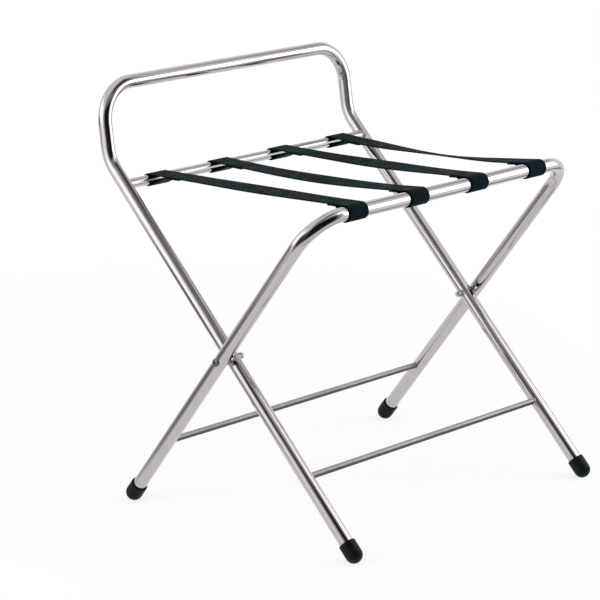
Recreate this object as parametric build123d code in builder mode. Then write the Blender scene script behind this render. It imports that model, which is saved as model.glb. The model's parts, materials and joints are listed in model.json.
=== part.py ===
from build123d import *
import os
from math import acos, asin, cos, degrees, radians, sin, sqrt, tan

os.makedirs("parts", exist_ok=True)

# A folding luggage rack: two bent tube frames that cross and turn on a pair of pivot bolts,
# with webbing straps between their top rails.
# Millimetres and degrees. +Z is up, the front faces -Y, and the feet stand on Z = 0.

# Frame tube
tube_diameter = 22.0
tube_wall = 1.2
bend_radius = 60.0  # to the middle of the tube

# Layout of the two frames
front_frame_width = 600.0  # between the middles of the front frame's legs
leg_gap = 2.0  # between the tubes where the legs cross
pivot_height = 267.0
back_frame_angle = 44.7  # backwards, from upright
front_frame_angle = 38.0  # forwards, from upright
rear_rail_reach = 332.0  # up the leg from the pivot
front_rail_reach = 315.0  # up the leg from the pivot
hoop_start = 28.5  # up the leg from the rear rail to where the tube starts to bend
hoop_angle = 8.0  # backwards, from upright
hoop_straight = 36.5  # of each upright, between its two bends

# Cross tubes
rear_rail_diameter = 16.0
rear_rail_wall = 1.2
stretcher_diameter = 10.0
stretcher_wall = 1.0
front_stretcher_drop = 220.0  # down the leg from the pivot
rear_stretcher_drop = 194.0  # down the leg from the pivot
weld_gap = 0.05

# Foot caps
foot_wall = 2.5
foot_length = 34.0
foot_tip = 10.0  # rubber under the tube's end
foot_flat = 1.0  # how far the floor cuts into the domed end
foot_rim_flat = 0.9  # left on the rim between its two rounded edges
foot_clearance = 0.05

# Straps
strap_width = 40.0
strap_thickness = 2.0
strap_margin = 10.0  # from the outer straps to the bends of the front rail
strap_left_sag = 2.5
strap_centre_left_sag = 9.0
strap_centre_right_sag = 4.5
strap_right_sag = 10.0
strap_join = 42.0  # from a rail to where the two layers meet
strap_lap = 28.0  # length of the sewn double layer
strap_clearance = 0.3

# Pivot bolts and what is on them
bolt_diameter = 6.0
bolt_head_overhang = 3.5
bolt_head_rim = 0.8
bolt_head_dome = 2.4
bolt_socket = 4.0  # across the flats
bolt_socket_depth = 1.8
bolt_running_clearance = 0.08  # in the front frame, which turns on the bolt
bolt_hole_clearance = 0.2  # in the back frame and its washers
bolt_thread_clearance = 0.05
bolt_end_gap = 2.0  # from the bolt's end to the bottom of the nut's bore
spacer_overhang = 5.0
side_clearance = 0.1  # beside the front frame, on the bolt
washer_overhang = 3.0
washer_thickness = 1.2
nut_overhang = 2.0  # at the middle of a flat
nut_hex_height = 6.0
nut_collar_inset = 0.3  # in from the flats
nut_collar_height = 2.5
nut_dome_height = 3.5
nut_end_wall = 3.0

# Sizes that follow from the ones above
tube_radius = tube_diameter / 2
foot_bore_radius = tube_radius + foot_clearance
foot_radius = foot_bore_radius + foot_wall
outer_half_width = front_frame_width / 2
inner_half_width = outer_half_width - tube_diameter - leg_gap
foot_middle_height = foot_radius - foot_flat


def leg_direction(angle):
    """Up along a leg that leans back by this angle."""
    return Vector(0, sin(radians(angle)), cos(radians(angle)))


back_up = leg_direction(back_frame_angle)
front_up = leg_direction(-front_frame_angle)
hoop_up = leg_direction(hoop_angle)

# Distances down each leg from the pivot to the middle of its foot's dome
back_foot_drop = (pivot_height - foot_middle_height) / back_up.Z
front_foot_drop = (pivot_height - foot_middle_height) / front_up.Z

# The rack is centred from front to back between its front feet and the hoop's top bar
hoop_bend_inset = bend_radius * tan(radians(back_frame_angle - hoop_angle) / 2)
hoop_bend_reach = back_up * (rear_rail_reach + hoop_start + hoop_bend_inset)
hoop_top_reach = hoop_bend_reach + hoop_up * (hoop_bend_inset + hoop_straight + bend_radius)
rearmost = hoop_top_reach.Y + tube_radius
foremost = -back_foot_drop * back_up.Y - foot_radius
pivot = Vector(0, -(rearmost + foremost) / 2, pivot_height)


def frame_plane(up):
    """The plane of a frame's two legs, with its origin at the pivot and its Y up the legs."""
    return Plane(origin=pivot, x_dir=(1, 0, 0), z_dir=Vector(1, 0, 0).cross(up))


back_plane = frame_plane(back_up)
front_plane = frame_plane(front_up)
side_plane = Plane(origin=pivot, z_dir=(1, 0, 0))

# Back frame: one tube from a front foot up to the hoop, across its top and down to the other foot
tube_end_below_dome = foot_radius - foot_tip
back_side = Vector(inner_half_width, 0, 0)
back_foot_end = pivot - back_up * (back_foot_drop + tube_end_below_dome)
back_corners = [
    back_foot_end - back_side,
    pivot + hoop_bend_reach - back_side,
    pivot + hoop_top_reach - back_side,
    pivot + hoop_top_reach + back_side,
    pivot + hoop_bend_reach + back_side,
    back_foot_end + back_side,
]

with BuildPart() as back_frame_tube:
    with BuildLine():
        FilletPolyline(*back_corners, radius=bend_radius)
    with BuildSketch(Plane(origin=back_corners[0], z_dir=back_up)):
        Circle(tube_radius)
        Circle(tube_radius - tube_wall, mode=Mode.SUBTRACT)
    sweep()
    with BuildSketch(side_plane):
        Circle(bolt_diameter / 2 + bolt_hole_clearance)
    extrude(amount=front_frame_width, both=True, mode=Mode.SUBTRACT)
back_frame_tube.part.label = "back_frame_tube"
export_step(back_frame_tube.part, "parts/back_frame_tube.step")

# Front frame: one tube from a rear foot up to the front rail, across and down to the other foot
front_side = Vector(outer_half_width, 0, 0)
front_foot_end = pivot - front_up * (front_foot_drop + tube_end_below_dome)
front_rail_middle = pivot + front_up * front_rail_reach
front_corners = [
    front_foot_end - front_side,
    front_rail_middle - front_side,
    front_rail_middle + front_side,
    front_foot_end + front_side,
]

with BuildPart() as front_frame_tube:
    with BuildLine():
        FilletPolyline(*front_corners, radius=bend_radius)
    with BuildSketch(Plane(origin=front_corners[0], z_dir=front_up)):
        Circle(tube_radius)
        Circle(tube_radius - tube_wall, mode=Mode.SUBTRACT)
    sweep()
    with BuildSketch(side_plane):
        Circle(bolt_diameter / 2 + bolt_running_clearance)
    extrude(amount=front_frame_width, both=True, mode=Mode.SUBTRACT)
front_frame_tube.part.label = "front_frame_tube"
export_step(front_frame_tube.part, "parts/front_frame_tube.step")


def make_cross_tube(name, frame, half_width, reach, diameter, wall):
    """A tube between the two legs of a frame, with its ends cut to the round of the legs."""
    with BuildPart() as cross_tube:
        with BuildSketch(Plane(origin=frame.from_local_coords((0, reach, 0)), z_dir=(1, 0, 0))):
            Circle(diameter / 2)
            Circle(diameter / 2 - wall, mode=Mode.SUBTRACT)
        extrude(amount=half_width, both=True)
        for leg_x in (-half_width, half_width):
            leg_point = frame.from_local_coords((leg_x, reach, 0))
            with BuildSketch(Plane(origin=leg_point, z_dir=frame.y_dir)):
                Circle(tube_radius + weld_gap)
            extrude(amount=tube_diameter, both=True, mode=Mode.SUBTRACT)
    cross_tube.part.label = name
    export_step(cross_tube.part, f"parts/{name}.step")


make_cross_tube(
    "rear_rail", back_plane, inner_half_width, rear_rail_reach, rear_rail_diameter, rear_rail_wall
)
make_cross_tube(
    "front_stretcher", back_plane, inner_half_width, -front_stretcher_drop,
    stretcher_diameter, stretcher_wall,
)
make_cross_tube(
    "rear_stretcher", front_plane, outer_half_width, -rear_stretcher_drop,
    stretcher_diameter, stretcher_wall,
)


def make_foot(name, frame, leg_x, drop):
    """A rubber cap over a tube's end, with a domed tip that is flat where it stands."""
    dome_middle = frame.from_local_coords((leg_x, -drop, 0))
    rim_height = foot_length - foot_radius
    with BuildPart() as foot:
        with BuildSketch(Plane(origin=dome_middle, x_dir=(1, 0, 0), z_dir=frame.z_dir)):
            with BuildLine():
                CenterArc((0, 0), foot_radius, -90, 90)
                Polyline(
                    (foot_radius, 0),
                    (foot_radius, rim_height),
                    (foot_bore_radius, rim_height),
                    (foot_bore_radius, -tube_end_below_dome),
                    (0, -tube_end_below_dome),
                    (0, -foot_radius),
                )
            make_face()
        revolve(axis=Axis(dome_middle, frame.y_dir))
        rim = foot.edges().filter_by(GeomType.CIRCLE).sort_by(Axis(dome_middle, frame.y_dir))[-2:]
        fillet(rim, radius=(foot_wall - foot_rim_flat) / 2)
        split(bisect_by=Plane.XY, keep=Keep.TOP)
    foot.part.label = name
    export_step(foot.part, f"parts/{name}.step")


for side_name, side in (("left", -1), ("right", 1)):
    make_foot(f"front_foot_{side_name}", back_plane, side * inner_half_width, back_foot_drop)
    make_foot(f"rear_foot_{side_name}", front_plane, side * outer_half_width, front_foot_drop)


# Straps, seen from the side with Y to the right and Z up
rear_rail_point = back_plane.from_local_coords((0, rear_rail_reach, 0))
rear_rail_spot = Vector(rear_rail_point.Y, rear_rail_point.Z)
front_rail_spot = Vector(front_rail_middle.Y, front_rail_middle.Z)


class Span:
    """The hanging part of a strap: an arc about a point above it, resting on both rails."""

    def __init__(self, sag):
        self.rear_hold = rear_rail_diameter / 2 + strap_clearance
        self.front_hold = tube_radius + strap_clearance
        length = (front_rail_spot - rear_rail_spot).length
        forwards = (front_rail_spot - rear_rail_spot).normalized()
        upwards = Vector(forwards.Y, -forwards.X)
        self.underside = length**2 / (8 * sag) + sag / 2
        self.topside = self.underside - strap_thickness
        self.lap_underside = self.underside + strap_thickness
        rear_arm = self.underside + self.rear_hold
        front_arm = self.underside + self.front_hold
        along = (rear_arm**2 - front_arm**2 + length**2) / (2 * length)
        above = sqrt(rear_arm**2 - along**2)
        self.middle = rear_rail_spot + forwards * along + upwards * above

    def turned(self, point, distance, radius):
        """The point this far along the span from another one, at a radius."""
        turn = degrees(distance / self.underside)
        return self.middle + (point - self.middle).normalized().rotate(Axis.Z, turn) * radius

    def between(self, start, end, radius):
        """The point halfway between two others, at a radius."""
        return self.middle + (start + end - self.middle * 2).normalized() * radius

    def crossing(self, start, direction, radius):
        """Where a line from below first meets the arc of a radius."""
        arm = start - self.middle
        lead = arm.dot(direction)
        return start - direction * (lead + sqrt(lead**2 - arm.dot(arm) + radius**2))


class Loop:
    """The points of a strap's end, which goes round a rail and back under the span to its lap."""

    def __init__(self, span, rail, hold, inwards):
        wrap = hold + strap_thickness
        to_top = (span.middle - rail).normalized()
        join = span.turned(rail, inwards * strap_join, span.underside)
        swing = degrees(acos(hold / (join - rail).length))
        to_bottom = (join - rail).normalized().rotate(Axis.Z, -inwards * swing)
        to_back = -(to_top + to_bottom).normalized()
        climb = (join - rail - to_bottom * hold).normalized()
        self.join = join
        self.inner = [rail + way * hold for way in (to_bottom, to_back, to_top)]
        self.outer = [rail + way * wrap for way in (to_bottom, to_back, to_top)]
        self.lap_start = span.crossing(self.outer[0], climb, span.lap_underside)
        self.lap_end = span.turned(join, inwards * strap_lap, span.lap_underside)
        self.lap_edge = span.turned(join, inwards * strap_lap, span.underside)
        self.lap_middle = span.between(self.lap_start, self.lap_end, span.lap_underside)
        self.span_middle = span.between(join, self.inner[2], span.underside)


def make_strap(name, middle_x, sag):
    """Webbing that hangs between the rails, with each end looped round its rail and sewn back."""
    span = Span(sag)
    rear = Loop(span, rear_rail_spot, span.rear_hold, -1)
    front = Loop(span, front_rail_spot, span.front_hold, 1)
    with BuildPart() as strap:
        with BuildSketch(Plane.YZ.offset(middle_x)):
            with BuildLine():
                for loop in (rear, front):
                    ThreePointArc(*loop.outer)
                    Line(loop.outer[0], loop.lap_start)
                    ThreePointArc(loop.lap_start, loop.lap_middle, loop.lap_end)
                    Line(loop.lap_end, loop.lap_edge)
                top_middle = span.between(rear.outer[2], front.outer[2], span.topside)
                ThreePointArc(rear.outer[2], top_middle, front.outer[2])
                under_middle = span.between(rear.lap_edge, front.lap_edge, span.underside)
                ThreePointArc(rear.lap_edge, under_middle, front.lap_edge)
            make_face()
            for loop in (rear, front):
                with BuildLine():
                    ThreePointArc(*loop.inner)
                    ThreePointArc(loop.inner[2], loop.span_middle, loop.join)
                    Line(loop.join, loop.inner[0])
                make_face(mode=Mode.SUBTRACT)
        extrude(amount=strap_width / 2, both=True)
    strap.part.label = name
    export_step(strap.part, f"parts/{name}.step")


strap_sags = {
    "strap_left": strap_left_sag,
    "strap_centre_left": strap_centre_left_sag,
    "strap_centre_right": strap_centre_right_sag,
    "strap_right": strap_right_sag,
}
last_strap_x = outer_half_width - bend_radius - strap_margin - strap_width / 2
strap_pitch = 2 * last_strap_x / (len(strap_sags) - 1)
for place, (strap_name, strap_sag) in enumerate(strap_sags.items()):
    make_strap(strap_name, place * strap_pitch - last_strap_x, strap_sag)


# Pivots, measured outwards from the middle of the rack
bolt_head_diameter = bolt_diameter + 2 * bolt_head_overhang
spacer_diameter = bolt_diameter + 2 * spacer_overhang
washer_diameter = bolt_diameter + 2 * washer_overhang
nut_across_flats = bolt_diameter + 2 * nut_overhang
nut_collar_diameter = nut_across_flats - 2 * nut_collar_inset
head_seat = outer_half_width + tube_radius + side_clearance
spacer_seat = inner_half_width + tube_radius
washer_seat = inner_half_width - tube_radius
nut_seat = washer_seat - washer_thickness
nut_dome_seat = nut_seat - nut_hex_height - nut_collar_height
nut_bore_end = nut_dome_seat - nut_dome_height + nut_end_wall
bolt_end = nut_bore_end + bolt_end_gap


def pivot_plane(side, distance):
    """A plane across the pivot's axis, facing outwards on this side of the rack."""
    return Plane(origin=pivot + Vector(side * distance, 0, 0), z_dir=(side, 0, 0))


def make_ring(name, side, seat, thickness, diameter):
    """A flat ring on the bolt, from its seat outwards."""
    with BuildPart() as ring:
        with BuildSketch(pivot_plane(side, seat)):
            Circle(diameter / 2)
            Circle(bolt_diameter / 2 + bolt_hole_clearance, mode=Mode.SUBTRACT)
        extrude(amount=thickness)
    ring.part.label = name
    export_step(ring.part, f"parts/{name}.step")


def make_dome(plane, diameter, height):
    """Add a low round dome to the part being built."""
    radius = (diameter**2 / 4 + height**2) / (2 * height)
    rim_angle = degrees(asin(1 - height / radius))
    with BuildSketch(Plane(origin=plane.origin, x_dir=plane.x_dir, z_dir=-plane.y_dir)) as half_dome:
        with BuildLine():
            CenterArc((0, height - radius), radius, rim_angle, 90 - rim_angle)
            Polyline((0, height), (0, 0), (diameter / 2, 0))
        make_face()
    revolve(half_dome.sketch, axis=Axis(plane.origin, plane.z_dir))


for side_name, side in (("left", -1), ("right", 1)):
    with BuildPart() as pivot_bolt:
        with BuildSketch(pivot_plane(side, bolt_end)):
            Circle(bolt_diameter / 2)
        extrude(amount=head_seat - bolt_end)
        with BuildSketch(pivot_plane(side, head_seat)):
            Circle(bolt_head_diameter / 2)
        extrude(amount=bolt_head_rim)
        make_dome(pivot_plane(side, head_seat + bolt_head_rim), bolt_head_diameter, bolt_head_dome)
        with BuildSketch(pivot_plane(side, head_seat + bolt_head_rim + bolt_head_dome)):
            RegularPolygon(radius=bolt_socket / 2, side_count=6, major_radius=False)
        extrude(amount=-bolt_socket_depth, mode=Mode.SUBTRACT)
    pivot_bolt.part.label = f"pivot_bolt_{side_name}"
    export_step(pivot_bolt.part, f"parts/pivot_bolt_{side_name}.step")

    make_ring(
        f"pivot_spacer_{side_name}", side, spacer_seat, leg_gap - side_clearance, spacer_diameter
    )
    make_ring(f"nut_washer_{side_name}", side, nut_seat, washer_thickness, washer_diameter)

    with BuildPart() as cap_nut:
        with BuildSketch(pivot_plane(-side, -nut_seat)):
            RegularPolygon(radius=nut_across_flats / 2, side_count=6, major_radius=False)
        extrude(amount=nut_hex_height)
        with BuildSketch(pivot_plane(-side, -nut_seat)):
            Circle(nut_collar_diameter / 2)
        extrude(amount=nut_seat - nut_dome_seat)
        make_dome(pivot_plane(-side, -nut_dome_seat), nut_collar_diameter, nut_dome_height)
        with BuildSketch(pivot_plane(-side, -nut_seat)):
            Circle(bolt_diameter / 2 + bolt_thread_clearance)
        extrude(amount=nut_seat - nut_bore_end, mode=Mode.SUBTRACT)
    cap_nut.part.label = f"cap_nut_{side_name}"
    export_step(cap_nut.part, f"parts/cap_nut_{side_name}.step")
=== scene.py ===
# %% [markdown]
# # A folding luggage rack
# The rack is two bent chrome tubes that cross and turn on a pair of bolts, with four webbing straps
# between their top rails. The construction model already holds every tube, foot and fastener at its
# real size, so this lesson loads it as a fixed frame and gives it its finishes. The straps there are
# plain solids, so they are made again here as sewn webbing.

# %% Load the frame
import json
from math import atan2, ceil, cos, pi, radians, sin, sqrt, tan

import bmesh
import bpy
from mathutils import Matrix, Vector


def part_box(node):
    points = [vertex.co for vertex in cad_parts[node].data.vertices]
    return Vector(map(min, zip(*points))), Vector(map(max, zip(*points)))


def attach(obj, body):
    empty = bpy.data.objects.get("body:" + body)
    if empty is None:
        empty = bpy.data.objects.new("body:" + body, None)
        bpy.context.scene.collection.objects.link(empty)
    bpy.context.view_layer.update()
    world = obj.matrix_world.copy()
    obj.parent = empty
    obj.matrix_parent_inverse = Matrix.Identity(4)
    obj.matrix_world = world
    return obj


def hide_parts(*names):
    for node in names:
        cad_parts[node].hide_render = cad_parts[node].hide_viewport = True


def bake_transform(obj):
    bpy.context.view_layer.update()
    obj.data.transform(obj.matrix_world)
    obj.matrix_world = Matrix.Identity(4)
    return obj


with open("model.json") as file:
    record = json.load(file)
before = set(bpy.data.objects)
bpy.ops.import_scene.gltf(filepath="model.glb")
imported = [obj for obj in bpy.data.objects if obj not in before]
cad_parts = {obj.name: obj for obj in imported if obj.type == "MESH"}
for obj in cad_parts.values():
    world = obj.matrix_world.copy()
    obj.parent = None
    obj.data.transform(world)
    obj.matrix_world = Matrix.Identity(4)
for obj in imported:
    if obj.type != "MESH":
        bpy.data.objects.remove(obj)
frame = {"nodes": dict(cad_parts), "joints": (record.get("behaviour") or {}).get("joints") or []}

scene = bpy.context.scene
nodes = frame["nodes"]
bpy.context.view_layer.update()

# %% [markdown]
# ## The camera
# The picture was taken from the front left, a little above the rack, through a long lens. The lens and
# the place were found by matching the lines of the legs and rails, so the tubes fall where they do in
# the picture. The Standard view keeps colours as they are written.

# %% Set the camera
scene.view_settings.view_transform = "Standard"
camera = bpy.data.objects.new("camera", bpy.data.cameras.new("camera"))
scene.collection.objects.link(camera)
camera.data.sensor_width = 36
camera.data.lens = 158.93
camera.location = (-3.0203, -2.7654, 1.3722)
camera.rotation_euler = (radians(75.370), radians(0.153), radians(-46.502))
scene.camera = camera
print("Camera:", round(camera.location.length, 2), "m from the rack's foot")

# %% [markdown]
# ## Helpers for shaders
# Every finish here is a small tree of nodes. One helper adds a node and fills its inputs, with a value
# or with a link from another node's socket, so that each finish below reads as a short list.


# %% Helpers for node trees
def add_node(tree, kind, inputs=None, **settings):
    """A node with its settings, and its inputs set to values or linked to sockets."""
    node = tree.nodes.new(kind)
    for name, value in settings.items():
        setattr(node, name, value)
    for name, value in (inputs or {}).items():
        if isinstance(value, bpy.types.NodeSocket):
            tree.links.new(value, node.inputs[name])
        else:
            node.inputs[name].default_value = value
    return node


def add_math(tree, operation, *values):
    """The result of a Math node on numbers or sockets."""
    return add_node(tree, "ShaderNodeMath", dict(enumerate(values)), operation=operation).outputs[0]


def add_range(tree, value, low, high, new_low, new_high):
    """A value moved from one range into another, and kept inside it."""
    inputs = {0: value, 1: low, 2: high, 3: new_low, 4: new_high}
    return add_node(tree, "ShaderNodeMapRange", inputs).outputs[0]


def add_colours(tree, factor, first, second):
    """A colour between two others."""
    inputs = {0: factor, 6: first, 7: second}
    return add_node(tree, "ShaderNodeMix", inputs, data_type="RGBA").outputs[2]


def add_noise(tree, place, scale, detail):
    """A soft noise pattern."""
    inputs = {"Vector": place, "Scale": scale, "Detail": detail}
    return add_node(tree, "ShaderNodeTexNoise", inputs).outputs["Fac"]


def add_bump(tree, height, strength, distance):
    """A normal that follows a height."""
    inputs = {"Height": height, "Strength": strength, "Distance": distance}
    return add_node(tree, "ShaderNodeBump", inputs).outputs[0]


def object_place(tree):
    """The place of a point in its object."""
    return add_node(tree, "ShaderNodeTexCoord").outputs["Object"]


def facing_up(tree):
    """How far a face looks up: 1 is straight up and -1 straight down."""
    facing = add_node(tree, "ShaderNodeNewGeometry").outputs["Normal"]
    return add_node(tree, "ShaderNodeSeparateXYZ", {0: facing}).outputs["Z"]


def new_group(name, inputs, output):
    """An empty node group with named number inputs after its Vector, and one number output."""
    group = bpy.data.node_groups.new(name, "ShaderNodeTree")
    group.interface.new_socket("Vector", in_out="INPUT", socket_type="NodeSocketVector")
    for socket in inputs:
        group.interface.new_socket(socket, in_out="INPUT", socket_type="NodeSocketFloat")
    group.interface.new_socket(output, in_out="OUTPUT", socket_type="NodeSocketFloat")
    return group, group.nodes.new("NodeGroupInput").outputs


def place_group(tree, group, **inputs):
    """The output of a node group that is placed in a material with its own values."""
    return add_node(tree, "ShaderNodeGroup", inputs, node_tree=group).outputs[0]


def new_material(name):
    """A material with one Principled shader: the material, its tree and the shader."""
    material = bpy.data.materials.new(name)
    material.use_nodes = True
    return material, material.node_tree, material.node_tree.nodes["Principled BSDF"]


def set_shader(tree, shader, **inputs):
    """Fill a shader's inputs, named with _ for the spaces."""
    for name, value in inputs.items():
        socket = shader.inputs[name.replace("_", " ")]
        if isinstance(value, bpy.types.NodeSocket):
            tree.links.new(value, socket)
        else:
            socket.default_value = value


print("Helpers ready")

# %% [markdown]
# ## Marks that the finishes share
# A rack in daily use is wiped, gripped and stood in dust. Wiping leaves cloudy patches where the shine
# changes a little, dust settles on what faces up, and plating and rubber have a fine grain. Each of
# the three is one node group, placed in the materials below with its own values.

# %% Wiping marks, dust and grain as node groups
wiping_marks, marks_in = new_group("wiping_marks", ["Scale", "Low", "High"], "Roughness")
cloud = add_noise(wiping_marks, marks_in["Vector"], marks_in["Scale"], 5)
marks = add_range(wiping_marks, cloud, 0.35, 0.65, marks_in["Low"], marks_in["High"])
add_node(wiping_marks, "NodeGroupOutput", {"Roughness": marks})

settled_dust, dust_in = new_group("settled_dust", ["Amount"], "Dust")
flatness = add_range(settled_dust, facing_up(settled_dust), 0.55, 1.0, 0.0, 1.0)
drift = add_noise(settled_dust, dust_in["Vector"], 60, 6)
patches = add_range(settled_dust, drift, 0.4, 0.75, 0.0, 1.0)
settled = add_math(settled_dust, "MULTIPLY", flatness, patches)
dust = add_math(settled_dust, "MULTIPLY", settled, dust_in["Amount"])
add_node(settled_dust, "NodeGroupOutput", {"Dust": dust})

fine_grain, grain_in = new_group("fine_grain", ["Scale"], "Height")
specks = add_noise(fine_grain, grain_in["Vector"], grain_in["Scale"], 3)
add_node(fine_grain, "NodeGroupOutput", {"Height": specks})
print("Shared node groups:", [group.name for group in bpy.data.node_groups])

# %% [markdown]
# ## Chrome
# The tubes are polished and plated. Chrome sends back a little over half of the light, so in a white
# room it is a pale grey, and the bright and dark streaks on it are reflections. The finish is a metal
# with a low roughness that clouds a little where it was wiped. The thin cross tubes near the floor are
# a duller and warmer steel, so the same function makes both. Their dark underside is painted shade, a
# darker colour where the face turns down. Both have the cloudy tone of old plating, so that is a node
# group too.


# %% Make the chrome finishes
plating_clouds, clouds_in = new_group("plating_clouds", ["Scale"], "Tone")
haze = add_noise(plating_clouds, clouds_in["Vector"], clouds_in["Scale"], 4)
dulled = add_range(plating_clouds, haze, 0.3, 0.7, 0.0, 0.5)
add_node(plating_clouds, "NodeGroupOutput", {"Tone": dulled})


def make_plating(name, colour, dull_colour, low, high, underside=None):
    """Plating with wiping marks and a trace of dust, and painted shade on the underside where one is
    given.
    """
    material, tree, shader = new_material(name)
    place = object_place(tree)
    roughness = place_group(tree, wiping_marks, Vector=place, Scale=14, Low=low, High=high)
    film = place_group(tree, settled_dust, Vector=place, Amount=0.25)
    clouds = place_group(tree, plating_clouds, Vector=place, Scale=7)
    metal = add_colours(tree, add_math(tree, "MAXIMUM", clouds, film), colour, dull_colour)
    # Painted shade: the colour turns to the dark underside colour as the face turns down.
    if underside:
        painted_shade_fade = add_range(tree, facing_up(tree), 0.05, 0.65, 0.0, 1.0)
        metal = add_colours(tree, painted_shade_fade, underside, metal)
    polish = place_group(tree, fine_grain, Vector=place, Scale=900)
    bump = add_bump(tree, polish, 0.03, 0.0002)
    worn = add_math(tree, "MULTIPLY_ADD", film, 0.3, roughness)
    set_shader(tree, shader, Base_Color=metal, Roughness=worn, Metallic=1.0, Normal=bump)
    return material


tube_chrome = make_plating("tube_chrome", (0.525, 0.49, 0.5, 1), (0.49, 0.455, 0.46, 1), 0.05, 0.1)
# The stretchers' dark underside colour is painted shade.
stretcher_steel = make_plating(
    "stretcher_steel", (0.43, 0.415, 0.4, 1), (0.34, 0.325, 0.31, 1), 0.5, 0.6,
    underside=(0.12, 0.11, 0.105, 1),
)


def finish_nodes(material, *names):
    """Give construction pieces a finish."""
    for name in names:
        for slot in nodes[name].material_slots:
            slot.material = material
    print(material.name, "on", ", ".join(names))


finish_nodes(tube_chrome, "back_frame_tube", "front_frame_tube", "rear_rail")
finish_nodes(stretcher_steel, "front_stretcher", "rear_stretcher")

# %% [markdown]
# ## Rubber feet
# Each leg stands in a moulded rubber cap with a domed tip. New rubber is nearly black with a cool cast
# and a soft shine. Near the floor it is scuffed and dusty, so a mask that fades with height above the
# floor greys it there.


# %% Make the rubber finish
scuff_height = 0.014


def make_rubber():
    """Moulded black rubber, scuffed near the floor."""
    material, tree, shader = new_material("foot_rubber_finish")
    place = object_place(tree)
    height = add_node(tree, "ShaderNodeSeparateXYZ", {0: place}).outputs["Z"]
    scuffs = add_range(tree, add_noise(tree, place, 140, 6), 0.45, 0.7, 0.0, 1.0)
    scuffed = add_math(tree, "MULTIPLY", scuffs, add_range(tree, height, 0.0, scuff_height, 0.8, 0.05))
    colour = add_colours(tree, scuffed, (0.002, 0.007, 0.009, 1), (0.024, 0.027, 0.027, 1))
    roughness = place_group(tree, wiping_marks, Vector=place, Scale=90, Low=0.36, High=0.52)
    grain = place_group(tree, fine_grain, Vector=place, Scale=1600)
    bump = add_bump(tree, grain, 0.25, 0.0003)
    set_shader(tree, shader, Base_Color=colour, Roughness=roughness, Normal=bump, Specular_IOR_Level=0.12)
    return material


finish_nodes(make_rubber(), *[name for name in nodes if "_foot_" in name])

# %% [markdown]
# ## Pivot bolts, spacers, washers and cap nuts
# These are turned and plated steel, so they carry fine rings left by the lathe. A Wave texture makes
# rings about the X axis, and a Mapping node first moves its middle to the pivot, which the joint in
# the record names. The bolts are much darker than the nuts, washers and spacers, which is painted
# shade on the bolts, and all share the rings.


# %% Make the turned steel finishes
lathe_rings, rings_in = new_group("lathe_rings", ["Scale"], "Height")
pivot = Vector(frame["joints"][0]["pos_m"])
centred = add_node(lathe_rings, "ShaderNodeMapping", {"Vector": rings_in["Vector"], "Location": -pivot})
wave = {"Vector": centred.outputs[0], "Scale": rings_in["Scale"], "Distortion": 1.5, "Detail": 2}
rings = add_node(lathe_rings, "ShaderNodeTexWave", wave, wave_type="RINGS", rings_direction="X")
add_node(lathe_rings, "NodeGroupOutput", {"Height": rings.outputs["Fac"]})


def make_turned_steel(name, colour, dusty_colour, low, high):
    """Plated steel with fine rings about the pivot's axis."""
    material, tree, shader = new_material(name)
    place = object_place(tree)
    roughness = place_group(tree, wiping_marks, Vector=place, Scale=160, Low=low, High=high)
    film = place_group(tree, settled_dust, Vector=place, Amount=0.4)
    metal = add_colours(tree, film, colour, dusty_colour)
    bump = add_bump(tree, place_group(tree, lathe_rings, Vector=place, Scale=420), 0.12, 0.0002)
    set_shader(tree, shader, Base_Color=metal, Roughness=roughness, Metallic=1.0, Normal=bump)
    return material


# The bolts' dark colours are painted shade.
bolt_steel_painted_shade = make_turned_steel("bolt_steel_painted_shade", (0.16, 0.15, 0.14, 1), (0.1, 0.095, 0.09, 1), 0.34, 0.46)
nut_steel = make_turned_steel("nut_steel", (0.5, 0.49, 0.46, 1), (0.36, 0.35, 0.32, 1), 0.3, 0.4)
finish_nodes(bolt_steel_painted_shade, *[name for name in nodes if name.startswith("pivot_bolt")])
small_parts = ("pivot_spacer", "nut_washer", "cap_nut")
finish_nodes(nut_steel, *[name for name in nodes if name.startswith(small_parts)])

# %% [markdown]
# ## Where the rails and legs are
# The straps and the welds are fitted to the tubes, so their places are measured on the frame. Seen
# from the side, a rail is a circle, and its middle is a point with a Y and a Z. Two cross tubes of one
# frame lie on the same legs, so the line between them is the way its legs lean.

# %% Measure the rails and legs
tube_radius = 0.011  # of both bent tubes


def cross_tube(name):
    """The middle of a cross tube, seen from the side, and its radius."""
    low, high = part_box(name)
    return Vector(((low.y + high.y) / 2, (low.z + high.z) / 2)), (high.z - low.z) / 2


rear_rail, rear_rail_radius = cross_tube("rear_rail")
front_stretcher = cross_tube("front_stretcher")[0]
rear_stretcher, stretcher_radius = cross_tube("rear_stretcher")
front_low, front_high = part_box("front_frame_tube")
front_rail = Vector((front_low.y + tube_radius, front_high.z - tube_radius))
outer_leg = front_high.x - tube_radius
inner_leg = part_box("back_frame_tube")[1].x - tube_radius
inner_lean = (rear_rail - front_stretcher).normalized()
outer_lean = (front_rail - rear_stretcher).normalized()
print("Rails:", rear_rail, front_rail, "legs at", round(inner_leg, 3), round(outer_leg, 3), "m")


# %% [markdown]
# ## Weld beads
# The rear rail and the two stretchers are welded to the legs, and the plating covers the welds. A bead
# is a small ring round the end of the cross tube. It starts as a circle that is spun about the tube's
# axis. The end of a tube against a round leg is a saddle, so each point of the ring then moves towards
# the leg as far as the leg's round falls away.


# %% Make the weld beads
bead_radius = 0.0013
bead_sides = 10
ripples = 26
ripple_steps = 4
ripple_depth = 0.012
widest_reach = 0.98 * tube_radius  # just inside the round of the leg


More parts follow.
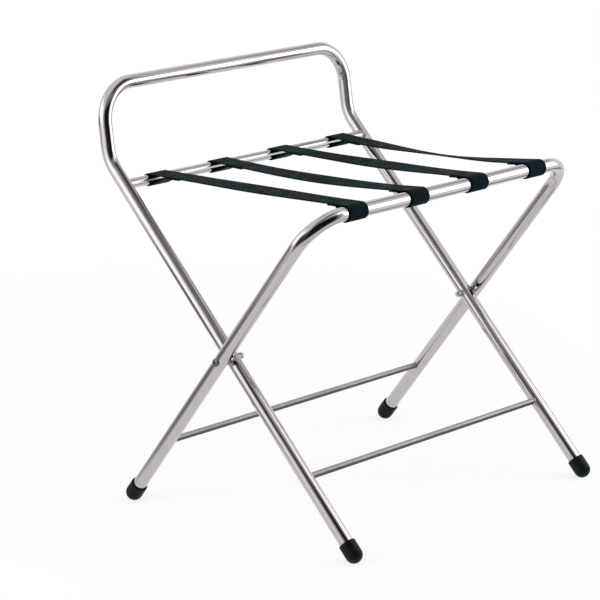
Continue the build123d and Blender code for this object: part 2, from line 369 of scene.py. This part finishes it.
def add_bead(bm, middle, radius, leg_x, lean):
    """A ring of weld where the end of a cross tube meets a leg."""
    side = 1 if leg_x > 0 else -1
    centre = Vector((leg_x - side * tube_radius, middle.x, middle.y))
    upright = Matrix.Translation(centre + Vector((0, 0, radius))) @ Matrix.Rotation(pi / 2, 4, "X")
    start = bmesh.ops.create_circle(bm, radius=bead_radius, segments=bead_sides, matrix=upright)["verts"]
    edges = list({edge for vert in start for edge in vert.link_edges})
    before = set(bm.verts) - set(start)
    bmesh.ops.spin(
        bm, geom=start + edges, cent=centre, axis=(1, 0, 0), angle=2 * pi,
        steps=ripples * ripple_steps, use_merge=True,
    )
    across = Vector((0, lean.y, -lean.x))
    for vert in set(bm.verts) - before:
        arm = vert.co - centre
        bearing = atan2(arm.z, arm.y)
        arm *= 1 + ripple_depth * sin(ripples * bearing)
        reach = min(abs(arm.dot(across)), widest_reach)
        saddle = tube_radius - sqrt(tube_radius**2 - reach**2)
        vert.co = centre + arm + Vector((side * saddle, 0, 0))


def new_piece(name, bm, material):
    """A mesh object at the origin, made from a bmesh, with smooth faces and one material."""
    mesh = bpy.data.meshes.new(name)
    bm.to_mesh(mesh)
    bm.free()
    mesh.shade_smooth()
    mesh.materials.append(material)
    piece = bpy.data.objects.new(name, mesh)
    scene.collection.objects.link(piece)
    print(name, "has", len(mesh.polygons), "faces")
    return piece


weld_plans = {
    "back_frame": [(rear_rail, rear_rail_radius), (front_stretcher, stretcher_radius)],
    "front_frame": [(rear_stretcher, stretcher_radius)],
}
legs = {"back_frame": (inner_leg, inner_lean), "front_frame": (outer_leg, outer_lean)}
for body, joins in weld_plans.items():
    leg_x, lean = legs[body]
    bm = bmesh.new()
    for middle, radius in joins:
        for side in (-1, 1):
            add_bead(bm, middle, radius, side * leg_x, lean)
    bmesh.ops.remove_doubles(bm, verts=bm.verts, dist=1e-6)
    bmesh.ops.recalc_face_normals(bm, faces=bm.faces)
    welds = new_piece(f"{body}_welds", bm, tube_chrome)
    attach(welds, body)

# %% [markdown]
# ## The route of a strap
# A strap is one length of webbing. It starts in a tail under the front of the span, drops away to the
# front rail, goes round it, hangs across to the rear rail, goes round that and comes back up to a
# second tail. Seen from the side, that is a row of runs, each with a length and an angle that it turns
# by, and each starts in the direction in which the last one ends. So a start, a heading and the runs
# give the point at any distance along the strap.

# %% Work out a strap's route
strap_thickness = 0.002
strap_clearance = 0.0003
tail_bend = 0.006  # the radius of the bend where a tail leaves the span
front_tail = (0.02, 0.014)  # from the rail to that bend, and the length of the tail
rear_tail = (0.042, 0.028)
span_run = 4  # the span is the run after the four of the front end


def pointing(bearing):
    """The direction of a bearing, which turns from +Y towards +Z."""
    return Vector((cos(bearing), sin(bearing)))


def end_runs(radius, tail, underside):
    """The runs from a tail to the top of a rail, where the span's underside has a large radius."""
    half = strap_thickness / 2
    hold = radius + strap_clearance
    lead, lap = tail
    start_turn, tail_turn = lead / underside, lap / underside
    reach = (underside + hold) * sin(start_turn)
    drop = (underside + hold) * cos(start_turn) - underside - half - tail_bend
    apart = tail_bend + hold + half
    straight = sqrt(reach**2 + drop**2 - apart**2)
    fall = atan2(drop, reach) + atan2(apart, straight)
    wrap = pi + fall + start_turn
    round_rail = ((hold + half) * wrap, -wrap)
    return [(lap, -tail_turn), (tail_bend * fall, fall), (straight, 0), round_rail]


def route_of(sag):
    """A strap's middle line from its front tail to its rear tail: a point, a bearing and the runs."""
    half = strap_thickness / 2
    across = front_rail - rear_rail
    width, forwards = across.length, across.normalized()
    underside = width**2 / (8 * sag) + sag / 2
    rear_arm = underside + rear_rail_radius + strap_clearance
    front_arm = underside + tube_radius + strap_clearance
    along = (rear_arm**2 - front_arm**2 + width**2) / (2 * width)
    above = Vector((forwards.y, -forwards.x)) * sqrt(rear_arm**2 - along**2)
    middle = rear_rail + forwards * along + above
    to_rear, to_front = rear_rail - middle, front_rail - middle
    span_turn = atan2(to_rear.y, to_rear.x) - atan2(to_front.y, to_front.x)
    first = atan2(to_front.y, to_front.x) + sum(front_tail) / underside
    start = middle + pointing(first) * (underside + half)
    front = end_runs(tube_radius, front_tail, underside)
    rear = end_runs(rear_rail_radius, rear_tail, underside)
    return start, first - pi / 2, front + [((underside - half) * span_turn, span_turn)] + rear[::-1]


def follow(route, distance):
    """The point at a distance along a route, and the heading there."""
    point, bearing, runs = route
    for length, turn in runs:
        part = max(min(distance, length), 0)
        angle = turn * part / length
        chord = part * sin(angle / 2) / (angle / 2) if angle else part
        point = point + pointing(bearing + angle / 2) * chord
        bearing += angle
        distance -= part
    return point, pointing(bearing)


def length_of(runs):
    """The length of a row of runs."""
    return sum(length for length, turn in runs)


def span_of(route):
    """The distances along a route at which its span starts and ends."""
    runs = route[2]
    return length_of(runs[:span_run]), length_of(runs[:span_run + 1])


sags = {
    "strap_left": 0.0015,
    "strap_centre_left": 0.007,
    "strap_centre_right": 0.0042,
    "strap_right": 0.01,
}
for name, sag in sags.items():
    print(name, "is cut", round(length_of(route_of(sag)[2]) * 1000), "mm long")

# %% [markdown]
# ## Webbing
# The straps are woven from dark blue-black yarn. Across the strap the warp yarns stand in narrow ribs,
# and the weft crosses them, with every second rib half a step further on. The UV map of a strap is in
# metres on the flat cut, so sine waves on it make ribs of the right size that follow the strap round
# the rails. The two edges are closed by a smoother border.


# %% Make the webbing and thread finishes
rib_width = 0.0016
weft_step = 0.0021
border_start, border_full = 0.0172, 0.0182  # from the middle of the strap


def add_ribs(tree, value):
    """Round ribs from 0 to 1, one for each step of a value."""
    return add_math(tree, "ABSOLUTE", add_math(tree, "SINE", add_math(tree, "MULTIPLY", value, pi)))


def make_webbing():
    """Ribbed webbing on a UV map in metres."""
    material, tree, shader = new_material("woven_webbing")
    flat = add_node(tree, "ShaderNodeUVMap", uv_map="flat_cut").outputs[0]
    cut = add_node(tree, "ShaderNodeSeparateXYZ", {0: flat}).outputs
    rib = add_math(tree, "DIVIDE", cut["X"], rib_width)
    odd = add_math(tree, "MULTIPLY", add_math(tree, "FLOOR", rib), 0.5)
    step = add_math(tree, "ADD", add_math(tree, "DIVIDE", cut["Y"], weft_step), odd)
    crossing = add_math(tree, "MULTIPLY_ADD", add_ribs(tree, step), 0.6, 0.4)
    weave = add_math(tree, "MULTIPLY", add_ribs(tree, rib), crossing)
    from_middle = add_math(tree, "ABSOLUTE", cut["X"])
    border = add_range(tree, from_middle, border_start, border_full, 0.0, 1.0)
    height = add_math(tree, "MULTIPLY", weave, add_math(tree, "MULTIPLY_ADD", border, -0.6, 1.0))
    fade = add_range(tree, add_noise(tree, flat, 45, 5), 0.3, 0.7, 0.0, 1.0)
    yarn = add_colours(tree, fade, (0.001, 0.0105, 0.016, 1), (0.003, 0.0145, 0.023, 1))
    # The grooves between the ribs are painted darker, as shade in the weave's hollows.
    colour = add_colours(tree, height, (0.0005, 0.006, 0.0085, 1), yarn)
    place = object_place(tree)
    dust = place_group(tree, settled_dust, Vector=place, Amount=0.08)
    dusty = add_colours(tree, dust, colour, (0.05, 0.07, 0.08, 1))
    roughness = place_group(tree, wiping_marks, Vector=place, Scale=60, Low=0.6, High=0.8)
    bump = add_bump(tree, height, 0.45, 0.0004)
    set_shader(tree, shader, Base_Color=dusty, Roughness=roughness, Normal=bump, Specular_IOR_Level=0.045)
    set_shader(tree, shader, Sheen_Weight=0.01, Sheen_Roughness=0.4, Sheen_Tint=(0.4, 0.7, 0.9, 1))
    return material


def make_thread():
    """Twisted polyester thread, a shade lighter than the webbing."""
    material, tree, shader = new_material("sewing_thread")
    place = object_place(tree)
    twist = add_noise(tree, place, 1500, 2)
    colour = add_colours(tree, twist, (0.004, 0.011, 0.014, 1), (0.012, 0.022, 0.028, 1))
    roughness = place_group(tree, wiping_marks, Vector=place, Scale=300, Low=0.4, High=0.6)
    bump = add_bump(tree, twist, 0.4, 0.0002)
    set_shader(tree, shader, Base_Color=colour, Roughness=roughness, Normal=bump, Specular_IOR_Level=0.1)
    return material


webbing, thread = make_webbing(), make_thread()
print("Webbing and thread finishes made")

# %% [markdown]
# ## Cutting, sewing and hanging the straps
# A real strap is cut flat, and so is this one: a grid of the cut's size that Solidify gives its
# thickness. While it lies flat, its rims are rounded with a bevel and its UV map is set. Its stitches,
# small grains of thread in a crossed box over each tail, are laid on the flat cut too. Then every
# point is moved from the flat cut to its place along the route, across, along and above it. No strap
# hangs quite square: in use its ends slide a few millimetres along the rails, and between its tails it
# twists by a few degrees.

# %% Make the straps
columns = 10
row_length = 0.0016
rim_angle = radians(60)
rim_round = 0.0007
stitch_pitch = 0.0032
stitch_size = Vector((0.0026, 0.0007, 0.0006))
stitch_inset = 0.0035
twists = {  # in degrees, at the middle of the span
    "strap_left": 3,
    "strap_centre_left": 3.5,
    "strap_centre_right": 4.5,
    "strap_right": -10.5,
}
slides = {  # along the front rail and along the rear one
    "strap_left": (-0.0055, 0.003),
    "strap_centre_left": (-0.0085, 0.001),
    "strap_centre_right": (-0.009, -0.001),
    "strap_right": (-0.007, -0.001),
}


def cut_webbing(width, length):
    """A flat strip along Y, with thickness and rounded rims."""
    bm = bmesh.new()
    bmesh.ops.create_grid(bm, x_segments=columns, y_segments=ceil(length / row_length), size=0.5)
    bmesh.ops.scale(bm, vec=(width, length, 1), verts=bm.verts)
    bmesh.ops.translate(bm, vec=(0, length / 2, 0), verts=bm.verts)
    bm.normal_update()
    bmesh.ops.solidify(bm, geom=bm.faces, thickness=strap_thickness)
    lowest = min(vert.co.z for vert in bm.verts)
    bmesh.ops.translate(bm, vec=(0, 0, -lowest - strap_thickness / 2), verts=bm.verts)
    bmesh.ops.recalc_face_normals(bm, faces=bm.faces)
    rims = [edge for edge in bm.edges if edge.is_manifold and edge.calc_face_angle() > rim_angle]
    bmesh.ops.bevel(
        bm, geom=rims, offset=rim_round, affect="EDGES", segments=2,
        profile=0.5, material=-1, clamp_overlap=True,
    )
    cut = bm.loops.layers.uv.new("flat_cut")
    for face in bm.faces:
        for corner in face.loops:
            corner[cut].uv = corner.vert.co.xy
    return bm


def sew_row(bm, start, end):
    """A row of stitches on the flat cut, from one point to another."""
    count = round((end - start).length / stitch_pitch)
    step = (end - start) / count
    lie = Matrix.Rotation(atan2(step.y, step.x), 4, "Z") @ Matrix.Diagonal((*(stitch_size / 2), 1))
    for place in range(count):
        middle = Matrix.Translation(start + step * (place + 0.5))
        bmesh.ops.create_uvsphere(bm, u_segments=6, v_segments=4, radius=1, matrix=middle @ lie)


def sew_box(bm, width, start, end):
    """A crossed box of stitches between two distances along the flat cut."""
    x, surface = width / 2 - stitch_inset, strap_thickness / 2
    low, high = start + stitch_inset, end - stitch_inset
    a, b = Vector((-x, low, surface)), Vector((x, low, surface))
    c, d = Vector((x, high, surface)), Vector((-x, high, surface))
    for row in ((a, b), (b, c), (c, d), (d, a), (a, c), (b, d)):
        sew_row(bm, *row)


def hang(bm, route, middle_x, twist, slide):
    """Move every point from the flat cut to its place along the route."""
    span_start, span_end = span_of(route)
    free_start, free_end = span_start + sum(front_tail), span_end - sum(rear_tail)
    for vert in bm.verts:
        share = max(0, min(1, (vert.co.y - free_start) / (free_end - free_start)))
        tilt = tan(radians(twist)) * sin(pi * share) ** 2
        point, heading = follow(route, vert.co.y)
        outwards = Vector((-heading.y, heading.x)) * (vert.co.z + tilt * vert.co.x)
        aside = slide[0] + (slide[1] - slide[0]) * share
        vert.co = (middle_x + aside + vert.co.x, *(point + outwards))


for name, sag in sags.items():
    route = route_of(sag)
    length = length_of(route[2])
    low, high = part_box(name)
    middle_x, width = (low.x + high.x) / 2, high.x - low.x
    strip = cut_webbing(width, length)
    hang(strip, route, middle_x, twists[name], slides[name])
    strap = new_piece(f"{name}_webbing", strip, webbing)
    seams = bmesh.new()
    span_start, span_end = span_of(route)
    sew_box(seams, width, 0, front_tail[1])
    sew_box(seams, width, span_start + front_tail[0], span_start + sum(front_tail))
    sew_box(seams, width, span_end - sum(rear_tail), span_end - rear_tail[0])
    sew_box(seams, width, length - rear_tail[1], length)
    hang(seams, route, middle_x, twists[name], slides[name])
    stitches = new_piece(f"{name}_stitching", seams, thread)
    for piece in (strap, stitches):
        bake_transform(piece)
    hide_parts(name)

# %% [markdown]
# ## The white studio
# The rack stands on a white floor in a white room. Rays from the camera and from mirrors see that room
# at a plain white, while the rays that light the rack see a softer level. The floor does the same, and
# keeps a part of its real shading, so the rack has a faint soft shadow.


# %% Build the room and the floor
room_light = 0.55
floor_shade = 0.25
near, far = 0.5, 2.5  # distances from the middle of the floor
near_glow, far_glow = 0.79, 0.88
floor_size = 60
floor_gap = 0.0004  # keeps the floor just under the feet


def seen_directly(tree):
    """1 for rays from the camera, from mirrors and glass, and 0 for the rays that light things."""
    path = add_node(tree, "ShaderNodeLightPath").outputs
    mirrored = add_math(tree, "MAXIMUM", path["Is Glossy Ray"], path["Is Transmission Ray"])
    return add_math(tree, "MAXIMUM", path["Is Camera Ray"], mirrored)


room = bpy.data.worlds.new("white_room")
scene.world = room
room.use_nodes = True
sky = room.node_tree.nodes["Background"]
sky.inputs["Color"].default_value = (1, 1, 1, 1)
level = add_range(room.node_tree, seen_directly(room.node_tree), 0, 1, room_light, 1.0)
room.node_tree.links.new(level, sky.inputs["Strength"])

floor_white = bpy.data.materials.new("floor_white")
floor_white.use_nodes = True
tree = floor_white.node_tree
tree.nodes.clear()
paint = add_node(tree, "ShaderNodeBsdfDiffuse", {"Color": (0.8, 0.8, 0.8, 1)}).outputs[0]
shade = add_node(tree, "ShaderNodeBsdfDiffuse", {"Color": (*[floor_shade] * 3, 1)}).outputs[0]
away = add_node(tree, "ShaderNodeVectorMath", {0: object_place(tree)}, operation="LENGTH")
glow_level = add_range(tree, away.outputs["Value"], near, far, near_glow, far_glow)
glow = add_node(tree, "ShaderNodeEmission", {"Strength": glow_level}).outputs[0]
bright = add_node(tree, "ShaderNodeAddShader", {0: shade, 1: glow}).outputs[0]
mix = {0: seen_directly(tree), 1: paint, 2: bright}
surface = add_node(tree, "ShaderNodeMixShader", mix).outputs[0]
add_node(tree, "ShaderNodeOutputMaterial", {"Surface": surface})


def add_panel(name, spot, facing, tall, size, material):
    """A flat panel with its middle at a spot, facing one way, with its height along another."""
    bm = bmesh.new()
    bmesh.ops.create_grid(bm, x_segments=1, y_segments=1, size=0.5)
    share = bm.loops.layers.uv.new("share")
    for face in bm.faces:
        for corner in face.loops:
            corner[share].uv = corner.vert.co.xy
    bmesh.ops.scale(bm, vec=(*size, 1), verts=bm.verts)
    front = Vector(facing).normalized()
    wide = Vector(tall).cross(front).normalized()
    turn = Matrix((wide, front.cross(wide), front)).transposed().to_4x4()
    bmesh.ops.transform(bm, matrix=Matrix.Translation(spot) @ turn, verts=bm.verts)
    panel = new_piece(name, bm, material)
    return panel


up, down = (0, 0, 1), (0, 0, -1)
rightwards, rearwards, frontwards = (1, 0, 0), (0, 1, 0), (0, -1, 0)
add_panel("floor", (0, 0, -floor_gap), up, rearwards, (floor_size, floor_size), floor_white)

# %% [markdown]
# ## Softboxes and cards
# Three softboxes light the rack. Chrome shows its surroundings, so its streaks are arranged with cards,
# as a photographer does it: bright cards on the left and behind give the white bands on the legs, and
# dark ones in front, above, on the right, near the floor and behind give the dark lines. Small cards
# close to the hoop, the front left bend and the rear rail change the reflections there. All of them
# have one finish. The colour of the object is the card's tone, and its UV map fades it out towards its
# edges, so that the streaks are soft. Cards are seen only in reflections and take no light away.

# %% Make the finish of the cards
card_strength = 2
full_share, edge_share = 0.2, 0.5  # from the card's middle: whole up to the first, gone at the second
card_finish, tree, shader = new_material("card_finish")
tone = add_node(tree, "ShaderNodeObjectInfo").outputs["Color"]
share = add_node(tree, "ShaderNodeUVMap", uv_map="share").outputs[0]
sides = add_node(tree, "ShaderNodeSeparateXYZ", {0: share}).outputs
covers = []
for axis in "XY":
    from_middle = add_math(tree, "ABSOLUTE", sides[axis])
    covers.append(add_range(tree, from_middle, edge_share, full_share, 0.0, 1.0))
cover = add_math(tree, "MULTIPLY", *covers)
set_shader(tree, shader, Base_Color=(0, 0, 0, 1), Specular_IOR_Level=0, Alpha=cover)
set_shader(tree, shader, Emission_Color=tone, Emission_Strength=card_strength)
print("Finish of the cards made")


# %% Place the softboxes and the cards
rack_middle = Vector((0, 0, 0.35))
softbox_power = 4  # watts for each square metre at a brightness of 1


def add_softbox(name, spot, size, brightness):
    """A rectangular area light that faces the rack."""
    lamp = bpy.data.lights.new(name, "AREA")
    lamp.shape = "RECTANGLE"
    lamp.size, lamp.size_y = size
    lamp.energy = softbox_power * brightness * size[0] * size[1]
    box = bpy.data.objects.new(name, lamp)
    box.location = spot
    box.rotation_euler = (rack_middle - Vector(spot)).to_track_quat("-Z", "Y").to_euler()
    box.visible_camera = False
    scene.collection.objects.link(box)
    print(name, "gives", round(lamp.energy, 1), "W from", spot)
    return box


def add_card(name, spot, facing, tall, size, brightness):
    """A card that is seen only in reflections, where the room has a brightness of 1."""
    card = add_panel(name, Vector(spot), facing, tall, size, card_finish)
    card.color = (*[brightness / card_strength] * 3, 1)
    card.visible_camera = False
    card.visible_diffuse = False
    card.visible_transmission = False
    card.visible_shadow = False


left_softbox = add_softbox("left_softbox", (-2.1, 0.5, 0.9), (1.8, 1.2), 2.0)
left_softbox.visible_glossy = False
add_softbox("right_softbox", (1.6, -1.4, 0.95), (1.5, 1.3), 2.0)
add_softbox("upper_softbox", (0.75, -1.4, 2.0), (0.8, 0.6), 1.05)

inwards = (0.485, 0.875, 0)  # from the front left towards the rack
before_rail = (0.08, rear_rail.x - 0.016, rear_rail.y)
add_card("left_glow", (-2.0, 0.72, 1.15), rightwards, up, (2.0, 2.2), 2.0)
add_card("rear_glow", (-1.7, 1.75, 1.45), (0.65, -0.72, -0.25), up, (2.2, 2.2), 2.0)
add_card("front_card", (-0.6, -1.21, 0.62), inwards, up, (4.2, 3.8), 0.015)
add_card("floor_front_card", (-0.77, -1.516, 0.001), up, inwards, (4.2, 1.83), 0.02)
add_card("hoop_card", (-0.151, 0.088, 0.881), (-0.383, 0.663, -0.643), up, (0.42, 0.38), 0.08)
add_card("bend_card", (-0.52, -0.185, 0.475), rightwards, up, (0.3, 0.36), 0.05)
add_card("deck_card", (0.185, 0.19, 0.592), rearwards, up, (0.2, 0.13), 0.25)
add_card("rail_card", before_rail, rearwards, up, (0.72, 0.016), 1.3)
add_card("over_card", (-0.65, -0.6, 1.9), down, rearwards, (2.7, 1.0), 0.25)
add_card("right_card", (1.75, 0.15, 2.1), (-0.7, -0.06, -0.7), rearwards, (1.4, 1.6), 0.55)
add_card("low_front_card", (0.55, -0.45, 0.075), rearwards, up, (2.4, 0.2), 0.2)
add_card("floor_card", (1.0, -0.375, 0.001), up, rearwards, (1.9, 0.2), 0.2)
add_card("near_rear_card", (-0.75, 0.6, 0.125), frontwards, up, (1.2, 0.4), 0.2)
add_card("floor_rear_card", (-0.85, 0.42, 0.001), up, rearwards, (1.1, 0.55), 0.3)
add_card("far_rear_card", (-1.5, 2.2, 0.45), frontwards, up, (2.4, 1.0), 0.15)
